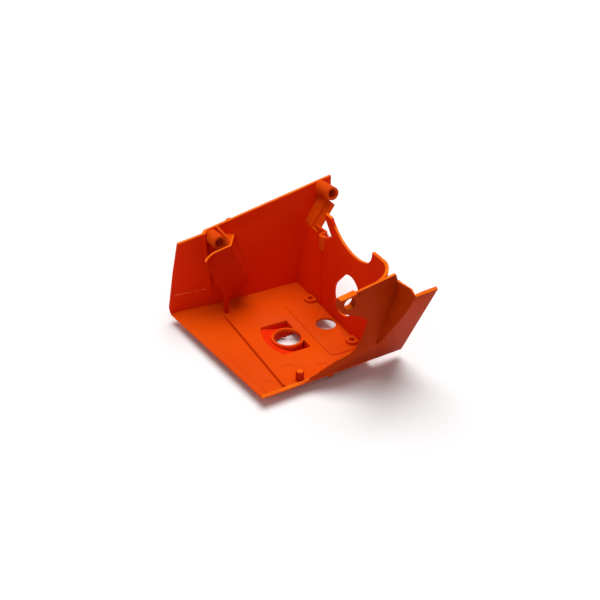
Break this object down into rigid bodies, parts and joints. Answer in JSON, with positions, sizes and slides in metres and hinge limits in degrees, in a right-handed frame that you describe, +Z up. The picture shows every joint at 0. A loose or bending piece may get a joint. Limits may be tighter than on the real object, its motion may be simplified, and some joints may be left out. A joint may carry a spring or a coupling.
{
  "type": "air filter housing",
  "caption": "Open plastic housing half for a small engine's air filter, with screw bosses, an air duct, locating lugs and hose openings.",
  "frame": {"origin": "the middle of the intake collar, on the floor's inner face", "axes": "+X runs along the back wall away from the open left side, +Y points out through the back wall, +Z points up out of the open side"},
  "size_m": [0.1229, 0.1477, 0.0801],
  "materials": {
    "shell_plastic": "satin, finely textured moulding",
    "inner_plastic": "satin, as moulded"
  },
  "bodies": {
    "root": {"floor_main": "shell_plastic", "floor_left": "shell_plastic", "floor_lip": "shell_plastic", "floor_pad": "shell_plastic", "guide_rib": "shell_plastic", "pocket_base": "shell_plastic", "pocket_side_back": "shell_plastic", "pocket_side_end": "shell_plastic", "pocket_side_near": "shell_plastic", "collar": "shell_plastic", "collar_skirt": "inner_plastic", "locating_lug_back": "shell_plastic", "locating_lug_near": "shell_plastic", "floor_peg": "inner_plastic", "underside_foot": "shell_plastic", "back_wall": "shell_plastic", "back_wall_left": "shell_plastic", "back_wall_jog": "shell_plastic", "rim_nub": "shell_plastic", "left_boss": "shell_plastic", "right_boss": "shell_plastic", "left_boss_rib": "shell_plastic", "duct_hood": "inner_plastic", "duct_tongue": "inner_plastic", "duct_side": "inner_plastic", "duct_ledge": "shell_plastic", "end_wall": "shell_plastic", "end_corner": "shell_plastic", "end_jog": "shell_plastic", "flare_back": "shell_plastic", "flare_front": "shell_plastic", "catch_rib": "shell_plastic", "catch_hook": "shell_plastic", "near_corner": "shell_plastic", "screw_panel": "shell_plastic", "screw_lug": "shell_plastic", "near_web": "shell_plastic", "near_wall": "shell_plastic", "wing": "shell_plastic"}
  },
  "joints": []
}
